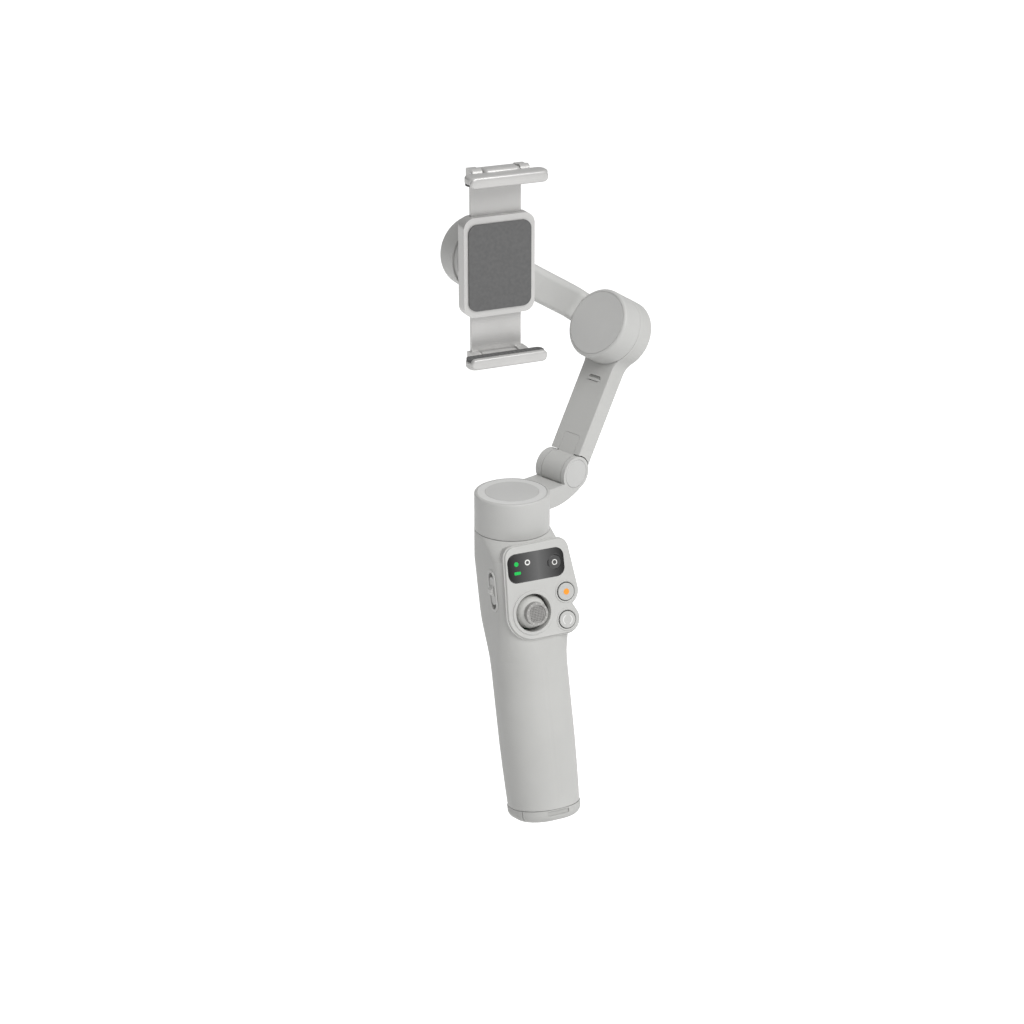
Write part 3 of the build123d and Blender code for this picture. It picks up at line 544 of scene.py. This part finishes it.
finishes.update({
    "display_glass": window("display_glass"),
    "pad_rubber": soft_rubber("pad_rubber", (0.12, 0.12, 0.12)),
    "cell_wrap": moulded("cell_wrap", (0.03, 0.12, 0.32), 0.3, 1500, 0.00002, edges=False),
    "board": moulded("board", (0.02, 0.16, 0.06), 0.32, 2600, 0.00002, edges=False),
})
orange_paint = moulded("orange_paint", (1.0, 0.36, 0.03), 0.35, 3000, 0.00002, edges=False)
white_paint = moulded("white_paint", (0.80, 0.80, 0.79), 0.4, 3000, 0.00002, edges=False)
# near-black paint for the key gaps: painted shade where the gaps fall in shade
gap_shade_paint = moulded("gap_shade_paint", (0.012, 0.012, 0.012), 0.7, 3000, 0.00001, edges=False)
pale_rubber = moulded("pale_rubber", (0.50, 0.495, 0.48), 0.58, 2800, 0.00003, edges=False)
# near-black dots: painted shade for the small pits in the stick's pad
pit_shade_paint = moulded("pit_shade_paint", (0.17, 0.165, 0.16), 0.62, 2800, 0.00003, edges=False)
disc_plastic = moulded("disc_plastic", (0.56, 0.56, 0.55), 0.36, 3600, 0.00002)
ring_plastic = moulded("ring_plastic", (0.68, 0.68, 0.67), 0.42, 3600, 0.00002)
green_lamp = lamp("green_lamp", (0.0, 0.50, 0.075), 0.22)
white_lamp = lamp("white_lamp", (0.72, 0.72, 0.70), 0.35)
print(len(finishes), "slot finishes, and some of their own for marks")

# %% [markdown]
# ## Dressing the frame
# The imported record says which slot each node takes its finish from. Each node's mesh stays as
# it is and only its material is swapped. The pan motor's top has a disc and a ring that
# share a slot, but the disc is glossier and darker, so those two get finishes of their own.

# %% Give every node its finish
slot_of = {part["node"]: part["material_slot"] for part in frame["record"]["subparts"]}
for name, piece in nodes.items():
    finish = finishes[slot_of[name]]
    for place in piece.material_slots:
        place.material = finish
    if not piece.material_slots:
        piece.data.materials.append(finish)
for name, finish in (("pan_top_disc", disc_plastic), ("pan_top_ring", ring_plastic)):
    for place in nodes[name].material_slots:
        place.material = finish
print("dressed", len(nodes), "nodes")

# %% [markdown]
# ## Marks on the buttons
# The record button has an orange dot set into it, the button below it a ring broken in two,
# and the mode button a small lit ring. They are pad-printed or two-shot mouldings in life,
# barely thicker than paint: low mounds sunk a little into the caps, so no light leaks under.

# %% Record dot, switch ring and mode ring
ink = 0.05 * mm
put("record_dot", *mound(record_face, panel_out, right, circle(1.4 * mm), soft_profile(0.09 * mm)),
    body="record_key", slot="button_plastic", finish=orange_paint)
for name, start in (("switch_arc_a", -75), ("switch_arc_b", 105)):
    put(name, *band(switch_face, panel_out, right, 2.2 * mm, 0.24 * mm, start, start + 130, ink),
        body="switch_key", slot="button_plastic", finish=white_paint)
put("mode_ring", *hoop(mode_face, panel_out, right, 1.1 * mm, 0.22 * mm, ink),
    body="mode_key", slot="mode_plastic", finish=white_lamp)

# %% [markdown]
# ## The window and the gaps round the keys
# The window is one smoked acrylic plate over the display's frame, with a round hole for the
# mode key. Between a hole and an outline a surface is easiest as rings that blend one into
# the other. The gaps round the keys are narrow hoops of painted shade, dark where the gaps
# fall in shade, and the record and switch keys stand in low soft rims.

# %% Window, gaps and rims
mode_u, mode_v, mode_gap = keys["mode"]
window_outline = rounded(window_width * mm, window_height * mm, 4.1 * mm, 16)
window_hole = ((mode_u - window_u) * mm, (mode_v - window_v) * mm)
window_rise = 0.05 * mm
window_plate = put("window_plate", *holed_plate(window_middle, panel_out, right, window_outline,
                                                window_hole, (mode_gap + 0.2) * mm, window_rise),
                   body="handle", slot="display_glass", finish=finishes["display_glass"])
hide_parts("display_window")
# narrow hoops of painted shade stand for the shaded gaps round the keys
for name, (u, v, gap) in keys.items():
    put(f"{name}_gap", *hoop(on_plate(u, v), panel_out, right, gap * mm, 0.22 * mm, 0.03 * mm),
        body="handle", slot="panel_plastic", finish=gap_shade_paint)
for name in ("record", "switch"):
    u, v, gap = keys[name]
    put(f"{name}_rim", *hoop(on_plate(u, v), panel_out, right, (gap + 0.72) * mm, 0.4 * mm, 0.22 * mm),
        body="handle", slot="panel_plastic", finish=finishes["panel_plastic"])

# %% [markdown]
# ## Soft jaws
# Each jaw is a die-cast plate with a lip at the phone's front and a hood over its hinge. Their
# edges are too soft for one fillet, so each jaw is three soft plates that run into each other:
# one over the phone's edge, one standing at the front, and the hood between the rail's lugs.

# %% Jaws
front = np.array([0.0, -1.0, 0.0])
roll_centre = np.array(joints["roll"]["pos_m"])
jaw_length, jaw_top = 38.0 * mm, 4.4 * mm
pin_rise = 3.0 * mm     # how far past the phone's edge the jaw's pin lies
for side_name in ("upper", "lower"):
    pin = np.array(joints[f"{side_name}_jaw_fold"]["pos_m"])
    away = np.array([0.0, 0.0, np.sign(pin[2] - roll_centre[2])])
    edge = pin - pin_rise * away
    over = rounded_plate(edge + 7.23 * mm * front, away, right, jaw_length, 8.45 * mm, 3.4 * mm,
                         1.2 * mm, jaw_top, 0.3 * mm, 1.2 * mm)
    lip = rounded_plate(edge + 10.35 * mm * front + 1.62 * mm * away, front, right,
                        jaw_length - 1.3 * mm, 4.6 * mm, 2.2 * mm, -1.1 * mm, 1.1 * mm, 0.3 * mm, 0.9 * mm)
    hood = rounded_plate(edge + 0.75 * mm * front, away, right, 17.4 * mm, 7.4 * mm, 2.2 * mm,
                         0.6 * mm, jaw_top + 1.1 * mm, 1.0 * mm, 1.8 * mm)
    jaw_skin = put(f"{side_name}_jaw_skin", *merged(over, lip, hood), body=f"{side_name}_jaw_flap",
                   slot="clamp_paint", finish=finishes["clamp_paint"])
    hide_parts(f"{side_name}_jaw")
    rib = rounded_plate(edge + 6.15 * mm * front, away, right, 0.8 * mm, 5.0 * mm, 0.39 * mm,
                        -0.1 * mm, 0.3 * mm, 0.1 * mm, 0.2 * mm)
    rib_places = np.linspace(-16.5, 16.5, 17)[:, None] * mm * right
    put(f"{side_name}_pad_ribs", *repeat(*rib, rib_places), body=f"{side_name}_jaw_flap",
        slot="pad_rubber", finish=finishes["pad_rubber"])

# %% [markdown]
# ## Lamps behind the window
# Two green lamps show the link and the charge, and a pale one the following mode. The light
# guide under the window makes each a flat even shape, so they are thin glowing mounds just
# proud of the acrylic.

# %% Status lamps
def on_window(u, v):
    """A place on the window's face, u mm to the right and v mm up from its middle."""
    return window_middle + (0.06 * panel_out + u * right + v * grip_up) * mm


lit = 0.04 * mm
put("link_lamp", *mound(on_window(-9.6, 2.0), panel_out, right, circle(1.05 * mm), soft_profile(lit)),
    body="handle", slot="display_glass", finish=green_lamp)
pill = rounded(3.2 * mm, 1.4 * mm, 0.5 * mm)
put("charge_lamp", *mound(on_window(-9.4, -2.2), panel_out, right, pill, soft_profile(lit)),
    body="handle", slot="display_glass", finish=green_lamp)
put("follow_lamp", *hoop(on_window(-4.1, 2.0), panel_out, right, 1.05 * mm, 0.3 * mm, lit),
    body="handle", slot="display_glass", finish=white_lamp)

# %% [markdown]
# ## The stick's grip
# The top of the joystick is a dished pad with a grid of tiny dots that keep a thumb from
# slipping, and a ring of larger studs round them. They repeat, so each is only a few faces:
# one small cap is worked out and then copied to every place by adding two arrays.

# %% Dots and studs on the joystick
def dome(radius, height, out, across):
    """A small dome: rings r = R sin b at height H cos b, with b from 100 degrees to 0."""
    side = np.cross(out, across)
    b = np.radians([100.0, 75.0, 50.0, 25.0, 1.0])
    a = np.linspace(0, 2 * math.pi, 10, endpoint=False)
    r = radius * np.sin(b)[:, None]
    rise = height * np.cos(b)[:, None, None] * out
    points = (r * np.cos(a))[..., None] * across + (r * np.sin(a))[..., None] * side + rise
    return points.reshape(-1, 3), grid_faces(len(b), len(a), close_columns=True)


def on_stick(u, v):
    """Places on the stick's dish, u mm to the right and v mm up from its middle."""
    stick_up = np.cross(stick_out, right)
    return dish + (u[:, None] * right + v[:, None] * stick_up) * mm


dish = stick_rim - 0.5 * mm * stick_out
dot_pitch, dotted_radius = 0.74, 3.7
steps = np.arange(-5, 6) * dot_pitch
grid_u, grid_v = (a.ravel() for a in np.meshgrid(steps, steps))
inside = np.hypot(grid_u, grid_v) < dotted_radius
dot = dome(0.27 * mm, 0.22 * mm, stick_out, right)
# the dots are raised but dark: painted shade standing for the shade in the pits
put("stick_dots", *repeat(*dot, on_stick(grid_u[inside], grid_v[inside])),
    body="stick", slot="stick_rubber", finish=pit_shade_paint)

stud_count, stud_ring = 12, 4.75
spokes = np.arange(stud_count) * 2 * math.pi / stud_count
stud = dome(0.62 * mm, 0.7 * mm, stick_out, right)
put("stick_studs", *repeat(*stud, on_stick(stud_ring * np.cos(spokes), stud_ring * np.sin(spokes))),
    body="stick", slot="stick_rubber", finish=pale_rubber)

# %% [markdown]
# ## Floor, light and camera
# The gimbal is shown held up in a white studio. A pale floor lies well below it. It glows a
# little where it is looked at, so that it stays white without more lamps, and it takes no
# light away from the gimbal.

# %% Floor
reach, level = 4.0, -0.16
corners = [(-reach, -reach, level), (reach, -reach, level), (reach, reach, level), (-reach, reach, level)]
floor_mesh = bpy.data.meshes.new("floor")
floor_mesh.from_pydata(corners, [], [(0, 1, 2, 3)])
floor = bpy.data.objects.new("floor", floor_mesh)
bpy.context.collection.objects.link(floor)
pale, tree, shader, where = new_material("floor_white")
shader.inputs["Base Color"].default_value = (0.9, 0.9, 0.9, 1)
shader.inputs["Roughness"].default_value = 0.9
ray = tree.nodes.new("ShaderNodeLightPath")
seen = tree.nodes.new("ShaderNodeMath")
seen.operation = "MAXIMUM"
tree.links.new(ray.outputs["Is Camera Ray"], seen.inputs[0])
tree.links.new(ray.outputs["Is Glossy Ray"], seen.inputs[1])
glow = tree.nodes.new("ShaderNodeMath")
glow.operation = "MULTIPLY"
glow.inputs[1].default_value = 0.6
tree.links.new(seen.outputs[0], glow.inputs[0])
shader.inputs["Emission Color"].default_value = (1, 1, 1, 1)
tree.links.new(glow.outputs[0], shader.inputs["Emission Strength"])
floor_mesh.materials.append(pale)
print("floor at", level, "m")

# %% [markdown]
# ## A world with a slope
# The world is plain white where the camera looks straight at it, but it lights the gimbal
# more softly. An even world would leave the forms flat. Several lamps could shape them, but
# each adds a shadow, so the world itself is brighter from above and from one side.

# %% World
world = bpy.data.worlds.new("studio")
bpy.context.scene.world = world
world.use_nodes = True
sky = world.node_tree
background = sky.nodes["Background"]
background.inputs["Color"].default_value = (1, 1, 1, 1)
ray = sky.nodes.new("ShaderNodeLightPath")
direct = sky.nodes.new("ShaderNodeMath")
direct.operation = "MAXIMUM"
sky.links.new(ray.outputs["Is Camera Ray"], direct.inputs[0])
sky.links.new(ray.outputs["Is Transmission Ray"], direct.inputs[1])
way = sky.nodes.new("ShaderNodeTexCoord")
slope = sky.nodes.new("ShaderNodeVectorMath")
slope.operation = "DOT_PRODUCT"
brightest_way = (0.48, -0.36, 0.80)
slope.inputs[1].default_value = brightest_way
sky.links.new(way.outputs["Generated"], slope.inputs[0])
soft = remap(sky, slope.outputs["Value"], -1.0, 1.0, 0.17, 0.67)
strength = sky.nodes.new("ShaderNodeMix")
strength.data_type = "FLOAT"
sky.links.new(direct.outputs[0], strength.inputs["Factor"])
sky.links.new(soft, strength.inputs["A"])
strength.inputs["B"].default_value = 1.0
sky.links.new(strength.outputs["Result"], background.inputs["Strength"])
print("the world is brightest towards", brightest_way)

# %% [markdown]
# ## Camera and key lamp
# The camera looks down a little from the left front, with a long lens that keeps the grip's
# sides nearly parallel. One large soft lamp stands to the camera's right and above, which
# leaves the left of each round form in shade.

# %% Camera and lamp
camera_turn, camera_dip = math.radians(24.8353), math.radians(21.8797)
bpy.ops.object.camera_add(location=(-0.4259, -0.8839, 0.5455),
                          rotation=(math.pi / 2 - camera_dip, 0, -camera_turn))
camera = bpy.context.object
camera.data.lens = 84.03
camera.data.sensor_width = 36
camera.data.clip_start = 0.01
bpy.context.scene.camera = camera

gimbal_middle = Vector((0.0, 0.03, 0.17))
camera_right = Vector((math.cos(camera_turn), -math.sin(camera_turn), 0))
camera_front = Vector((-math.sin(camera_turn), -math.cos(camera_turn), 0))


def softbox(name, direction, distance, size, power):
    """A square area lamp that looks at the gimbal's middle from a direction.

    The direction is given as shares to the camera's right, towards the camera and up.
    """
    to_right, to_front, rise = direction
    way = (to_right * camera_right + to_front * camera_front + Vector((0, 0, rise))).normalized()
    data = bpy.data.lights.new(name, "AREA")
    data.energy, data.size = power, size
    lamp_object = bpy.data.objects.new(name, data)
    lamp_object.location = gimbal_middle + distance * way
    lamp_object.rotation_euler = way.to_track_quat("Z", "Y").to_euler()
    bpy.context.collection.objects.link(lamp_object)
    return lamp_object


key = softbox("key", (0.30, 0.42, 0.50), 2.2, 1.3, 30.0)
print("key lamp at", [round(c, 2) for c in key.location])

# %% [markdown]
# ## View transform
# The view transform is set to Standard.

# %% Finish
bpy.context.scene.view_settings.view_transform = "Standard"
